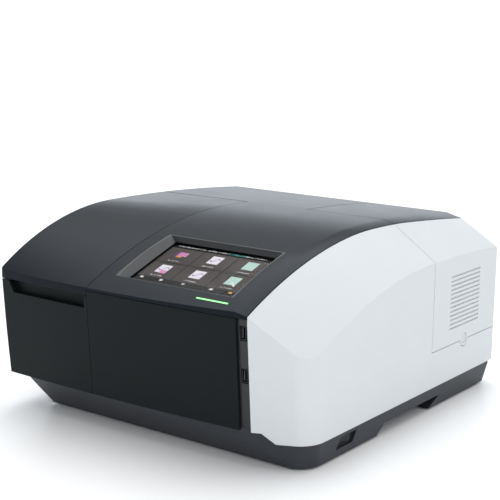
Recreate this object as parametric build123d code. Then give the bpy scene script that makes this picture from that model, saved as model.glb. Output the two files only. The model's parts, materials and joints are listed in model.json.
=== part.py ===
from build123d import *
import math
import os

os.makedirs("parts", exist_ok=True)

# A bench-top double-beam spectrophotometer. Millimetres, +Z up, front towards -Y.
# The origin is on the bench, under the centre of the body's outline.

# ---- body outline -------------------------------------------------------------
body_width = 450.0
body_depth = 501.0
body_height = 244.0
wall = 3.0                 # moulded covers
seam = 0.8                 # gap between neighbouring covers

roof_front_fall = 66.5     # top of the roof down to its front edge
roof_rear_fall = 14.0      # top of the roof down to its rear edge
roof_apex_y = 20.0         # the roof is highest here, between the seams
left_apex_y = -45.0        # and here along its left edge
front_corner_setback = 2.5  # left front corner, behind the foremost line
front_bow_x = -80.0        # where the bowed front reaches furthest forward
facet_x = 162.0            # where the swept right facet of the front starts
facet_setback = 9.0
facet_sweep = 25.0         # degrees in plan
corner_radius = 35.0       # right front corner
left_corner_radius = 5.0
left_lean = 5.0            # the left wall leans in by this at its foot
front_lean = 10.0          # and the front by this, under the lid

shoulder_x = 145.0         # the roof is level across up to here
shoulder_fall = 0.25       # and then falls by this much per millimetre
side_top_fall = 48.0       # top of the roof down to the right side's highest edge
side_arch_front = 68.0     # the right side's edge is level between these
side_arch_rear = 122.0
side_front_radius = 574.0  # and falls in an arc at either end
side_rear_radius = 1400.0
slope_run = 69.0           # the white slope rises along this direction
slope_sweep = 54.0
slope_rise = 47.5

# ---- seams --------------------------------------------------------------------
seam_x = -73.0             # right edge of the compartment lid
seam_y = 72.0              # rear edge of the lid, front edge of the lamp cover
lamp_roof_x = 29.0         # left edge of the lamp cover's roof part
lamp_base_z = 78.0         # lower edge of the lamp cover
lip_height = 9.0           # front wall of the lid
lid_gap = 1.6              # under the lid's lip
fascia_height = 3.0        # front wall of the roof cover
panel_base_z = 42.0        # lower edge of the front panels
cover_base_z = 30.0        # lower edge of the right cover
cover_step_x = 172.0       # the right cover's lower edge rises here, over this run, to the panels'
cover_step_run = 15.0
panel_return = 50.0        # the left front panel wraps this far round the corner
front_panel_right_x = 146.0

# ---- base ---------------------------------------------------------------------
foot_height = 2.0
base_inset = 3.6
base_rear_inset = 2.0
base_left_x = -188.0
base_top_z = 46.0
base_wall = 4.0
chin_foot = 43.0           # the slanted front of the base ends this far back at its foot
arch_z = 14.0              # underside of the base between its feet
arch_front_y = -55.0
arch_rear_y = 75.0
arch_lean_front = 18.0
arch_lean_rear = 29.0
tail_rise = 28.0
plate_thickness = 8.0
plate_inset = 9.0

# ---- sample compartment -------------------------------------------------------
tub_width = 110.0
tub_front_gap = 45.5       # from the front of the body to the inside of the tub
tub_wall = 2.5
tub_side_gap = 9.0         # from the lid's edge to the inside of the tub
tub_rear_gap = 27.0        # from the lid's rear edge to the inside of the tub
recess_depth = 12.0        # finger recess under the lid's lip
recess_height = 15.0
recess_left = 15.0
recess_right = 4.0
recess_wall = 2.5
hinge_forward = 10.0       # pivot in front of the lid's rear edge
hinge_drop = 10.0          # pivot below the top of the body
hinge_pin_r = 2.5
hinge_eye_r = 4.3
hinge_width = 7.0
hinge_ear = 5.0
running_fit = 0.05         # radial clearance of every shaft in its bore
side_play = 0.5
lid_swing_gap = 0.8

# ---- optics -------------------------------------------------------------------
beam_z = 110.0
sample_beam_y = -30.0
beam_spacing = 60.0
cell_size = 12.6           # square socket for a standard 12.5 mm cell
cell_stop = 15.0           # beam height over the bottom of the socket
window_r = 8.0

gear_module = 1.5
table_teeth = 48
pinion_teeth = 16
pressure_angle = 20.0
backlash = 0.3
gear_width = 6.0
table_x = 60.0
table_y = -80.0
gear_z = 88.0

filter_orbit = 16.0
filter_r = 6.0
filter_count = 6
wheel_r = 26.0
slit_x = 128.0
wheel_y = 84.0

# ---- display ------------------------------------------------------------------
recess_x = 38.0            # centre of the display recess
recess_width = 180.0
recess_length = 110.0      # up the slope
recess_front = 78.5        # centre of the recess behind the front of the body
bezel_left = 14.0
bezel_right = 8.0
bezel_front = 3.0
bezel_rear = 7.0
screen_depth = 6.5
glass_thickness = 2.0
lcd_thickness = 7.5
glass_margin = 3.0

# ---- lamp side ----------------------------------------------------------------
louvre_count = 13
louvre_pitch = 5.8
louvre_slot = 1.9
louvre_front_y = 118.0
louvre_rear_y = 201.0
louvre_base_z = 99.0
knob_y = 161.0
knob_z = 80.0
knob_r = 6.5
knob_boss_r = 11.0
knob_shank_r = 2.5

# ---- rear ---------------------------------------------------------------------
rear_thickness = 2.0
rear_recess = 4.0
fan_x = 150.0
fan_z = 118.0
fan_size = 80.0
fan_depth = 25.0
fan_bore_r = 38.0
blade_count = 7
inlet_x = -150.0
inlet_z = 80.0

# ---- switch -------------------------------------------------------------------
switch_y = -124.0
switch_z = 17.0
rocker_length = 20.0
rocker_height = 8.0
rocker_tilt = 7.0          # degrees each side of level

screw_r = 2.0
screw_head_r = 3.6

# Derived places
hx = body_width / 2
hy = body_depth / 2
margin = 12.0              # cutting solids reach this far past the body
roof_front_z = body_height - roof_front_fall
lid_base_z = roof_front_z - lip_height
panel_top_z = lid_base_z - lid_gap
fascia_z = roof_front_z - fascia_height
side_top_z = body_height - side_top_fall
deck_z = base_top_z + plate_thickness


def arc_radius(run, drop):
    """Radius of an arc that is level at one end and falls by drop over run."""
    return (run * run + drop * drop) / (2 * drop)


front_arc_r = arc_radius(hy + roof_apex_y, roof_front_fall)
rear_arc_r = arc_radius(hy - roof_apex_y, roof_rear_fall)


def roof_height(y):
    """Height of the roof's outer face, between the seams."""
    radius = front_arc_r if y < roof_apex_y else rear_arc_r
    return body_height - radius + math.sqrt(radius ** 2 - (y - roof_apex_y) ** 2)


def side_height(y):
    """Height of the right side's upper edge."""
    run = min(y - side_arch_front, 0) + max(y - side_arch_rear, 0)
    radius = side_front_radius if y < side_arch_front else side_rear_radius
    return side_top_z - radius + math.sqrt(radius ** 2 - run * run)


def box(x0, x1, y0, y1, z0, z1):
    """A block from its two opposite corners."""
    size = (x1 - x0, y1 - y0, z1 - z0)
    return Pos((x0 + x1) / 2, (y0 + y1) / 2, (z0 + z1) / 2) * Box(*size)


def rod(axis, centre, radius, length):
    """A cylinder centred on a point, along X, Y or Z."""
    turn = {"X": Rot(0, 90, 0), "Y": Rot(90, 0, 0), "Z": Rot(0, 0, 0)}[axis]
    return Pos(*centre) * turn * Cylinder(radius, length)


def save(node, shape):
    """Write one node's solids to its STEP file."""
    solids = shape.solids()
    export_step(solids[0] if len(solids) == 1 else Compound(children=solids), f"parts/{node}.step")


def group(shapes):
    """Several separate solids as one node."""
    return Compound(children=[solid for shape in shapes for solid in shape.solids()])


# ---- the body's outer form ----------------------------------------------------

def lean_at(z):
    """How far the front has receded at this height."""
    return front_lean * max(0.0, lid_base_z - z) / (lid_base_z - panel_base_z)


def plan_face(inset, rear, lean=0.0):
    """The body seen from above, drawn in by inset, its rear and front edges moved back."""
    front = -hy + lean
    left_front = (-hx, front + front_corner_setback)
    facet_start = (facet_x, front + facet_setback)
    corner_y = facet_start[1] + (hx - facet_x) * math.tan(math.radians(facet_sweep))
    edges = [
        ThreePointArc(left_front, (front_bow_x, front), facet_start),
        Line(facet_start, (hx, corner_y)),
        Line((hx, corner_y), (hx, hy + rear)),
        Line((hx, hy + rear), (-hx, hy + rear)),
        Line((-hx, hy + rear), left_front),
    ]
    face = make_face(edges)
    corners = face.vertices()
    right = corners.sort_by_distance((hx, corner_y, 0))[0]
    face = fillet(right, corner_radius)
    left = face.vertices().sort_by_distance((*left_front, 0))[0]
    face = fillet(left, left_corner_radius)
    if inset > 0:
        face = offset(face, amount=-inset, kind=Kind.INTERSECTION)
    return face


def roof_profile(inset, apex_y):
    """The region under the roof's arch, in the YZ plane, highest at apex_y."""
    front_r = arc_radius(hy + apex_y, roof_front_fall)
    rear_r = arc_radius(hy - apex_y, roof_rear_fall)
    end = hy + margin

    def arch(y, radius):
        return (y, body_height - radius + math.sqrt((radius - inset) ** 2 - (y - apex_y) ** 2))

    top = (apex_y, body_height - inset)
    start = arch(-end, front_r)
    finish = arch(end, rear_r)
    return make_face([
        ThreePointArc(start, arch((apex_y - end) / 2, front_r), top),
        ThreePointArc(top, arch((apex_y + end) / 2, rear_r), finish),
        Line(finish, (end, -margin)),
        Line((end, -margin), (-end, -margin)),
        Line((-end, -margin), start),
    ])


def under_roof(inset):
    """Everything below the roof: rounder to the left, level, then falling past its shoulder."""
    profile = Plane.YZ * roof_profile(inset, roof_apex_y)
    left_profile = Plane.YZ * roof_profile(inset, left_apex_y)
    left = loft([Pos(-hx - margin, 0, 0) * left_profile, Pos(seam_x, 0, 0) * profile], ruled=True)
    level = extrude(Pos(seam_x, 0, 0) * profile, amount=shoulder_x - seam_x, dir=(1, 0, 0))
    reach = hx + margin - shoulder_x
    fall = Vector(1, 0, -shoulder_fall)
    falling = extrude(Pos(shoulder_x, 0, 0) * profile, amount=reach * fall.length, dir=fall)
    return left + level + falling


def over_slope(inset):
    """Everything above the white slope, drawn in by inset."""
    lower = inset * 1.25
    start_y = -hy - 4 * margin
    end_y = hy + 2 * slope_sweep
    ceiling = body_height + 4 * margin

    def edge(y):
        return (y, side_height(y) - lower)

    outline = make_face([
        ThreePointArc(edge(start_y), edge((start_y + side_arch_front) / 2), edge(side_arch_front)),
        Line(edge(side_arch_front), edge(side_arch_rear)),
        ThreePointArc(edge(side_arch_rear), edge((side_arch_rear + end_y) / 2), edge(end_y)),
        Line(edge(end_y), (end_y, ceiling)),
        Line((end_y, ceiling), (start_y, ceiling)),
        Line((start_y, ceiling), edge(start_y)),
    ])
    way = Vector(-slope_run, -slope_sweep, slope_rise)
    lead = margin / slope_run
    start = Pos(hx + margin, slope_sweep * lead, -slope_rise * lead)
    reach = (hx - shoulder_x + 2 * margin) / slope_run
    return extrude(start * (Plane.YZ * outline), amount=reach * way.length, dir=way)


def left_wedge(inset):
    """What the leaning left wall takes off the block."""
    foot = cover_base_z - margin
    foot_x = -hx + inset + left_lean * (lid_base_z - foot) / (lid_base_z - panel_base_z)
    corner = (-hx + inset, lid_base_z)
    outside = -hx - margin
    triangle = make_face(Polyline(corner, (outside, lid_base_z), (outside, foot), (foot_x, foot), close=True))
    return extrude(Plane.XZ * triangle, amount=hy + 2 * margin, both=True)


def envelope(inset, rear=0.0, foot_z=cover_base_z):
    """The body's outer form as a block, drawn in by inset."""
    lid_level = plan_face(inset, rear)
    foot = plan_face(inset, rear, lean_at(foot_z))
    leaning = loft([Pos(0, 0, foot_z) * foot, Pos(0, 0, lid_base_z) * lid_level], ruled=True)
    column = leaning + extrude(Pos(0, 0, lid_base_z) * lid_level, amount=body_height)
    return (column & under_roof(inset)) - over_slope(inset) - left_wedge(inset)


def boundary_x(y):
    """Where the dark roof meets the white slope."""
    low, high = shoulder_x, hx
    for _ in range(40):
        x = (low + high) / 2
        part = (hx - x) / slope_run
        roof_z = roof_height(y) - (x - shoulder_x) * shoulder_fall
        slope_z = side_height(y + part * slope_sweep) + part * slope_rise
        if roof_z > slope_z:
            high = x
        else:
            low = x
    return (low + high) / 2


def dark_zone(shift):
    """The dark side of the boundary between roof and white cover, moved by shift in X."""
    ends = [-hy - margin + step * (body_depth + 2 * margin) / 8 for step in range(9)]
    line = [(boundary_x(y) + shift, y) for y in ends]
    left = -hx - margin
    outline = make_face([
        Spline(line),
        Line(line[-1], (left, ends[-1])),
        Line((left, ends[-1]), (left, ends[0])),
        Line((left, ends[0]), line[0]),
    ])
    return extrude(outline, amount=body_height + 2 * margin)


outer = envelope(0)
inner = envelope(wall, rear=wall + margin, foot_z=0)
shell = outer - inner
dark = dark_zone(-seam / 2)
white = box(-hx, hx + margin, -hy - margin, hy + margin, 0, body_height + margin) - dark_zone(seam / 2)

whole_y = (-hy - margin, hy + margin)
lid_right = seam_x - seam / 2
lid_rear = seam_y - seam / 2
hinge_y = seam_y - hinge_forward
hinge_z = body_height - hinge_drop
swing_r = math.hypot(lid_rear - hinge_y, roof_height(lid_rear) - hinge_z) + lid_swing_gap
hinge_places = (seam_x - 27.0, seam_x - 117.0)

tub_right = seam_x - tub_side_gap
tub_left = tub_right - tub_width
tub_rear = seam_y - tub_rear_gap
tub_front = -hy + tub_front_gap
rim_z = lid_base_z - 4.0


# ---- covers -------------------------------------------------------------------

def lug(x0, x1, y0, y1, screw_x, screw_y):
    """A foot inside a cover that stands on the chassis plate, with its screw hole."""
    block = box(x0, x1, y0, y1, deck_z, deck_z + lug_height)
    return block - rod("Z", (screw_x, screw_y, deck_z), screw_r + 0.2, 4 * lug_height)


lug_height = 5.0
lug_half = 9.0
lug_reach = 20.0
front_lug_reach = 25.0
lug_screws = {
    "left": [(-hx + lug_reach - 4.0, y) for y in (-150.0, 150.0)],
    "right": [(hx - lug_reach + 4.0, y) for y in (-110.0, 190.0)],
    "front": [(x, -hy + front_lug_reach) for x in (0.0, 110.0)],
    "corner": [(x, -hy + front_lug_reach) for x in (seam_x - 30.0, seam_x - 110.0)],
}


def side_lugs(places, side):
    """Lugs of a side cover, from its inner face in over the plate."""
    reach = [
        lug(*sorted((side * (hx - wall + 0.5), side * (hx - lug_reach - 4.0))), y - lug_half, y + lug_half, x, y)
        for x, y in places
    ]
    return [piece & inner_fit for piece in reach]


def front_lugs(places):
    """Lugs of a front panel, from its inner face back over the plate."""
    return [lug(x - lug_half, x + lug_half, -hy, y + 6.0, x, y) & inner_fit for x, y in places]


inner_fit = inner
lid_box = box(-hx - margin, lid_right, -hy - margin, lid_rear, lid_base_z, body_height + margin)


def make_lid():
    """The hinged lid over the sample compartment: a skin with a front lip and a left skirt."""
    return shell & lid_box


def make_liner():
    """The lid's black inner pan, open downwards."""
    side = 6.0
    outside = inner & box(-hx + side, tub_right + side, -hy + 14, tub_rear + 5, lid_base_z + 0.4, body_height)
    depth = envelope(wall + 2.0, rear=wall + margin, foot_z=0)
    hollow = depth & box(-hx + side + 2, tub_right + side - 2, -hy + 16, tub_rear + 3, 0, body_height)
    return outside - hollow


def hinge_knuckles():
    """Two eyes that hang from the lid's skin and turn on the hinge pins."""
    eyes = []
    for x in hinge_places:
        half = hinge_width / 2
        block = box(x - half, x + half, hinge_y - 4, hinge_y + 4, hinge_z, body_height) & inner
        eye = block + rod("X", (x, hinge_y, hinge_z), hinge_eye_r, hinge_width)
        eyes.append(eye - rod("X", (x, hinge_y, hinge_z), hinge_pin_r + running_fit, 2 * hinge_width))
    return group(eyes)


def hinge_brackets():
    """Pairs of ears on the compartment's rear wall, either side of each knuckle."""
    ears = []
    for x in hinge_places:
        for side in (-1, 1):
            centre = x + side * (hinge_width / 2 + side_play + hinge_ear / 2)
            half = hinge_ear / 2
            post = box(centre - half, centre + half, hinge_y - 7, hinge_y, hinge_wall_z, hinge_z)
            ear = post + rod("X", (centre, hinge_y, hinge_z), hinge_eye_r, hinge_ear)
            ears.append(ear - rod("X", (centre, hinge_y, hinge_z), hinge_pin_r, 2 * hinge_ear))
    return group(ears)


hinge_wall_z = hinge_z - 18.0


def hinge_pins():
    """One pin through each bracket and knuckle."""
    length = hinge_width + 2 * (side_play + hinge_ear)
    return group([rod("X", (x, hinge_y, hinge_z), hinge_pin_r, length) for x in hinge_places])


def make_tub():
    """The sample compartment: a deep tray with a wide rim and a wall that carries the hinge."""
    outside = box(tub_left - tub_wall, tub_right + tub_wall, tub_front - tub_wall, tub_rear + tub_wall, deck_z, rim_z)
    rim_front = -hy + recess_depth + recess_wall + 4.5
    rim = box(-hx + wall + 1, seam_x - 0.6, rim_front, hinge_y - 3, rim_z - tub_wall, rim_z)
    hinge_wall = box(-hx + 12, tub_right + tub_wall, hinge_y - 6, hinge_y - 3, rim_z - tub_wall, hinge_wall_z)
    hollow = box(tub_left, tub_right, tub_front, tub_rear, deck_z + tub_wall, rim_z + 1)
    tub = outside + rim + hinge_wall - hollow
    for y in (sample_beam_y, sample_beam_y - beam_spacing):
        tub -= rod("X", ((tub_left + tub_right) / 2, y, beam_z), window_r, tub_width + 4 * tub_wall)
    return tub


def make_lid_seal():
    """A foam ring on the rim, round the compartment's mouth."""
    band = 6.0
    height = 3.0
    outside = box(tub_left - band, tub_right + 4, tub_front - band, tub_rear + 2 + band / 2, rim_z, rim_z + height)
    return outside - box(tub_left, tub_right, tub_front, tub_rear, rim_z - 1, rim_z + height + 1)


def compartment_front_panel():
    """The panel below the lid, round the left corner, with the finger recess."""
    zone = box(-hx - margin, lid_right, -hy - margin, -hy + panel_return, panel_base_z, panel_top_z)
    recess_x0 = -hx + recess_left
    recess_x1 = lid_right - recess_right
    back_y = -hy + recess_depth
    low_z = panel_top_z - recess_height
    pocket = inner & box(
        recess_x0 - recess_wall, recess_x1 + recess_wall, -hy - margin, back_y + recess_wall,
        low_z - recess_wall, panel_top_z,
    )
    hollow = make_face(Plane.XZ * Polyline(
        (recess_x0, panel_top_z + 1), (recess_x0 + 8, low_z), (recess_x1, low_z), (recess_x1, panel_top_z + 1),
        close=True,
    ))
    cut = Pos(0, back_y, 0) * extrude(hollow, amount=2 * margin, dir=(0, -1, 0))
    panel = (shell & zone) + pocket - cut
    for piece in front_lugs(lug_screws["corner"]):
        panel += piece
    return panel


def make_front_panel():
    """The panel below the display."""
    zone = box(seam_x + seam / 2, front_panel_right_x, -hy - margin, -hy + 40, panel_base_z, fascia_z - seam)
    panel = shell & zone
    for piece in front_lugs(lug_screws["front"]):
        panel += piece
    return panel


strip_inset = wall + 0.6
strip_wall = 2.5
port_x = front_panel_right_x + 7.0
port_heights = (157.0, 107.0)
port_width = 9.0
port_height = 17.0
socket_width = 7.0
socket_height = 14.6
port_depth = 15.0


def strip_face_y(z):
    """Front of the port strip at its ports."""
    chord = (port_x - front_bow_x) / (facet_x - front_bow_x)
    return -hy + lean_at(z) + facet_setback * chord * chord + strip_inset


def port_strip():
    """The narrow upright strip between the front panel and the white cover."""
    zone = box(front_panel_right_x - 8, facet_x + 4, -hy - margin, -hy + 40, base_top_z + 0.5, fascia_z - 1)
    strip = (envelope(strip_inset, rear=margin) - envelope(strip_inset + strip_wall, rear=2 * margin, foot_z=0)) & zone
    for z in port_heights:
        half_x = port_width / 2
        half_z = port_height / 2
        strip -= box(port_x - half_x, port_x + half_x, -hy - margin, -hy + 40, z - half_z, z + half_z)
    return strip


def usb_sockets():
    """Two upright sockets: a thin metal sleeve with a tongue."""
    sockets = []
    for z in port_heights:
        face_y = strip_face_y(z) + 0.5
        half_x = socket_width / 2
        half_z = socket_height / 2
        sleeve = box(port_x - half_x, port_x + half_x, face_y, face_y + port_depth, z - half_z, z + half_z)
        sleeve -= box(
            port_x - half_x + 0.5, port_x + half_x - 0.5, face_y - 1, face_y + port_depth - 2,
            z - half_z + 0.5, z + half_z - 0.5,
        )
        tongue = box(port_x - half_x + 1, port_x - 0.6, face_y + 1.5, face_y + port_depth - 2, z - 5.5, z + 5.5)
        sockets.append(sleeve + tongue)
    return group(sockets)


def left_cover():
    """The plain cover of the left side."""
    zone = box(-hx - margin, -hx + 20, -hy + panel_return + seam, hy + margin, panel_base_z, panel_top_z)
    cover = shell & zone
    for piece in side_lugs(lug_screws["left"], -1):
        cover += piece
    return cover


knob_tab = rod("X", (hx, knob_y, knob_z), knob_boss_r, 4 * margin)
knob_tab_gap = rod("X", (hx, knob_y, knob_z), knob_boss_r + seam, 4 * margin)
lamp_white_box = box(0, hx + margin, seam_y + seam / 2, hy + margin, lamp_base_z + seam / 2, body_height + margin)
lamp_white_gap = box(0, hx + margin, seam_y - seam / 2, hy + margin, lamp_base_z - seam / 2, body_height + margin)
lamp_roof_box = box(lamp_roof_x + seam / 2, hx, seam_y + seam / 2, hy + margin, 0, body_height + margin)
lamp_roof_gap = box(lamp_roof_x - seam / 2, hx, seam_y - seam / 2, hy + margin, 0, body_height + margin)


step_reach = 60.0


def right_cover():
    """The white cover of the right side, from the leading edge to the rear."""
    left = facet_x - 2 * margin
    outline = make_face(Polyline(
        (left, 0), (left, panel_base_z), (cover_step_x, panel_base_z),
        (cover_step_x + cover_step_run, cover_base_z), (cover_step_x + cover_step_run, 0), close=True,
    ))
    step = Pos(0, -hy + step_reach, 0) * extrude(Plane.XZ * outline, amount=step_reach + margin)
    cover = (shell & white) - lamp_white_gap - knob_tab_gap - step
    for piece in side_lugs(lug_screws["right"], 1):
        cover += piece
    return cover


def roof_cover():
    """The dark roof with its fascia: middle and left rear, less the lid and the lamp cover."""
    roof = (shell & dark) & box(-hx - margin, hx, *whole_y, fascia_z, body_height + margin)
    gap = seam / 2
    roof -= box(-hx - margin, seam_x + gap, -hy - margin, seam_y + gap, 0, body_height + margin)
    roof -= box(-hx - margin, seam_x + gap, seam_y - margin, hy + margin, 0, panel_top_z + seam)
    roof -= lamp_roof_gap
    swing = rod("X", (0, hinge_y, hinge_z), swing_r, body_width)
    roof -= swing & box(-hx - margin, seam_x + gap, *whole_y, 0, body_height + margin)
    flange = inner & box(seam_x + gap, seam_x + gap + 2.5, -hy + 18, seam_y + gap, rim_z - 8, body_height)
    roof += flange
    roof -= display_prism(recess_width, recess_length, -40, 40)
    roof -= status_block(0.1)
    for x, y in plug_places:
        roof -= rod("Z", (x, y, body_height), plug_r, 6 * wall)
    return roof


# ---- display ------------------------------------------------------------------

recess_y = -hy + recess_front
recess_tilt = math.degrees(math.asin((roof_apex_y - recess_y) / front_arc_r))
half_chord = recess_length / 2
chord_drop = front_arc_r - math.sqrt(front_arc_r ** 2 - half_chord ** 2)
display_plane = Plane(
    origin=(recess_x, recess_y, roof_height(recess_y)),
    x_dir=(1, 0, 0),
    z_dir=(0, -math.sin(math.radians(recess_tilt)), math.cos(math.radians(recess_tilt))),
)
screen_top = -chord_drop - screen_depth
window_width = recess_width - bezel_left - bezel_right
window_length = recess_length - bezel_front - bezel_rear
window_u = (bezel_left - bezel_right) / 2
window_v = (bezel_front - bezel_rear) / 2


def display_prism(width, length, low, high, u=0.0, v=0.0, radius=0.0):
    """A block square to the display's plane, between two heights over the roof's face."""
    outline = RectangleRounded(width, length, radius) if radius else Rectangle(width, length)
    return extrude(display_plane * (Pos(u, v, low) * outline), amount=high - low)


def display_bezel():
    """The funnel between the roof and the screen."""
    play = 0.4
    block = display_prism(recess_width - play, recess_length - play, screen_top, margin) & outer
    small = display_plane * (Pos(window_u, window_v, screen_top) * Rectangle(window_width, window_length))
    rim = 1.5
    large = display_plane * (Pos(0, 0, 1) * Rectangle(recess_width - play - rim, recess_length - play - rim))
    above = display_prism(recess_width - play - rim, recess_length - play - rim, 1, margin)
    return block - loft([small, large]) - above


def touch_glass():
    """The flat glass under the bezel."""
    width = window_width + 2 * glass_margin
    length = window_length + 2 * glass_margin
    return display_prism(width, length, screen_top - glass_thickness, screen_top, window_u, window_v)


def lcd_module():
    """The screen behind the glass."""
    top = screen_top - glass_thickness
    return display_prism(window_width, window_length, top - lcd_thickness, top, window_u, window_v)


status_length = 45.0
status_width = 2.0
status_front = 17.5


def status_block(play):
    """The slot of the status light."""
    right = recess_x + recess_width / 2
    y = -hy + status_front
    half = status_width / 2 + play
    return box(right - status_length - play, right + play, y - half, y + half, fascia_z, body_height)


def status_light():
    """The light pipe in front of the display, flush with the roof."""
    deep = envelope(wall + 3, rear=margin, foot_z=0)
    return status_block(0) & (outer - deep)


# ---- lamp cover ---------------------------------------------------------------

def louvre_blade(z):
    """A slat that rises inwards from a slot's lower edge and hides what is behind it."""
    outside = hx - louvre_setback
    inside = hx - wall - louvre_reach
    top = z + louvre_slot + louvre_overlap
    section = make_face(Polyline(
        (outside, z - 0.2), (outside, z + louvre_lip), (inside, top), (inside, top - louvre_blade_height), close=True,
    ))
    length = louvre_rear_y - louvre_front_y + 2
    return Pos(0, louvre_rear_y + 1, 0) * extrude(Plane.XZ * section, amount=length)


louvre_setback = 1.2       # the slats start behind the cover's face
louvre_reach = 1.6         # and end behind its wall
louvre_overlap = 0.9
louvre_lip = 0.5
louvre_blade_height = 1.9


def lamp_cover_side():
    """The white, louvred part of the removable lamp cover."""
    zone = lamp_white_box + (knob_tab & box(0, hx + margin, seam_y + margin, hy, 0, body_height))
    cover = (shell & white) & zone
    cover += rod("X", (hx - 3.5, knob_y, knob_z), knob_boss_r - 1.5, 7.0)
    cover -= rod("X", (hx, knob_y, knob_z), knob_r + 0.4, 8.0)
    cover -= rod("X", (hx - 6, knob_y, knob_z), knob_shank_r + running_fit, 30.0)
    for number in range(louvre_count):
        z = louvre_base_z + number * louvre_pitch
        cover -= box(hx - 2 * wall, hx + margin, louvre_front_y, louvre_rear_y, z, z + louvre_slot)
        cover += louvre_blade(z)
    return cover


def lamp_cover_top():
    """The dark part of the lamp cover, level with the roof."""
    return (shell & dark) & lamp_roof_box & box(0, hx, *whole_y, fascia_z, body_height + margin)


def lamp_cover_knob():
    """The quarter-turn fastener: a flat head with a small socket, and a shank."""
    head = rod("X", (hx - 2.2, knob_y, knob_z), knob_r, 3.6)
    head -= rod("X", (hx, knob_y, knob_z), knob_socket_r, 3.2)
    shank = rod("X", (hx - 4 - knob_shank_length / 2, knob_y, knob_z), knob_shank_r, knob_shank_length)
    return head + shank


knob_shank_length = 12.0
knob_socket_r = 1.3


def latch_receiver():
    """The block behind the right cover that the knob's shank enters."""
    x1 = hx - 7.5
    block = box(x1 - 9, x1, knob_y - 8, knob_y + 8, deck_z, knob_z + 8)
    return block - rod("X", (x1, knob_y, knob_z), knob_shank_r + running_fit, 30.0)


# ---- base ---------------------------------------------------------------------

def base_outline(inset, left):
    """The base seen from above."""
    face = plan_face(base_inset + inset, 0, lean_at(cover_base_z))
    width = hx + margin - left
    return face & (Pos(left + width / 2, 0) * Rectangle(width, body_depth + 2 * margin))


def base_section(top):
    """The base seen from the side: chin, two feet, the arch between and the tail."""
    front = -hy + front_lean + wall + 1
    rear = hy - base_rear_inset
    return make_face(Polyline(
        (front, top), (front, panel_base_z), (-hy + chin_foot, foot_height),
        (arch_front_y, foot_height), (arch_front_y + arch_lean_front, arch_z),
        (arch_rear_y + arch_lean_rear, arch_z), (arch_rear_y, foot_height),
        (rear - 18, foot_height), (rear + 1, tail_rise), (rear + 1, top),
        close=True,
    ))


def across(section):
    """A side view's section, run right across the body."""
    return extrude(Plane.YZ * section, amount=hx + margin, both=True)


def base_end_wedge():
    """The left end of the base recedes downwards, as its chin does."""
    left = base_left_x
    triangle = make_face(Polyline((left - 1, base_top_z - 6), (left - 1, 0), (left + 14, 0), close=True))
    return extrude(Plane.XZ * triangle, amount=hy + margin, both=True)


def base_tray():
    """The dark base: an open tray on two broad hollow feet."""
    block = extrude(base_outline(0, base_left_x), amount=base_top_z) & across(base_section(base_top_z))
    block -= base_end_wedge()
    inside = extrude(base_outline(base_wall, base_left_x + base_wall + 12), amount=body_height)
    section = base_section(base_top_z + 3 * base_wall)
    inside &= across(offset(section, amount=-base_wall, kind=Kind.INTERSECTION))
    block -= inside
    block -= switch_window()
    for x, y in foot_places():
        block -= rod("Z", (x, y, foot_height), foot_r, 2 * foot_recess)
    return block


foot_r = 11.0
foot_recess = 3.0


def foot_places():
    """Centres of the four rubber feet."""
    xs = (base_left_x + 36, hx - base_inset - 30)
    ys = (-hy + chin_foot + 31, hy - 50)
    return [(x, y) for x in xs for y in ys]


def rubber_feet():
    """Four pads let into the base."""
    height = foot_height + foot_recess
    return group([rod("Z", (x, y, height / 2), foot_r, height) for x, y in foot_places()])


def switch_window():
    """The slanted opening in the base's right side."""
    x0 = hx - base_inset - 2 * base_wall
    low = switch_z - rocker_height / 2 - 2.5
    high = switch_z + rocker_height / 2 + 2.5
    length = rocker_length + 16
    lean = 9.0
    points = [
        (switch_y - length / 2 - lean / 2, low), (switch_y + length / 2 - lean / 2, low),
        (switch_y + length / 2 + lean / 2, high), (switch_y - length / 2 + lean / 2, high),
    ]
    return Pos(x0, 0, 0) * extrude(Plane.YZ * make_face(Polyline(points, close=True)), amount=4 * base_wall, dir=(1, 0, 0))


switch_face_x = hx - base_inset - base_wall
rocker_x = switch_face_x - 3.0
rocker_pin_r = 1.5


def switch_housing():
    """A frame behind the window that carries the rocker on its pin."""
    half_y = rocker_length / 2 + 11
    half_z = rocker_height / 2 + 4
    depth = 12.0
    back = switch_face_x - depth
    housing = box(back, switch_face_x, switch_y - half_y, switch_y + half_y, switch_z - half_z, switch_z + half_z)
    hollow_y = rocker_length / 2 + 1.2
    hollow_z = rocker_height / 2 + 0.4
    housing -= box(
        back + 2, hx, switch_y - hollow_y, switch_y + hollow_y, switch_z - hollow_z, switch_z + hollow_z,
    )
    return housing - rod("Z", (rocker_x, switch_y, switch_z), rocker_pin_r + running_fit, rocker_height + 5)


def power_rocker():
    """The rocker, tipped to one side, with its pin."""
    half = rocker_length / 2
    section = make_face(Polyline((-4.5, -3.5), (3.6, -half), (1.6, 0), (3.6, half), (-4.5, 3.5), close=True))
    low = switch_z - rocker_height / 2
    body = Pos(rocker_x, switch_y, low) * (Rot(0, 0, -rocker_tilt) * extrude(section, amount=rocker_height))
    return body + rod("Z", (rocker_x, switch_y, switch_z), rocker_pin_r, rocker_height + 4)


# ---- chassis and electronics --------------------------------------------------

def all_lug_screws():
    """Places of every cover screw."""
    return [place for places in lug_screws.values() for place in places]


def chassis_plate():
    """The aluminium plate on the base that carries everything else."""
    plate = extrude(Pos(0, 0, base_top_z) * plan_face(plate_inset, 0), amount=plate_thickness)
    plate &= envelope(strip_inset + strip_wall + 0.6, foot_z=0)
    for x, y in all_lug_screws():
        plate -= rod("Z", (x, y, base_top_z), screw_r, 4 * plate_thickness)
    return plate


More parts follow.
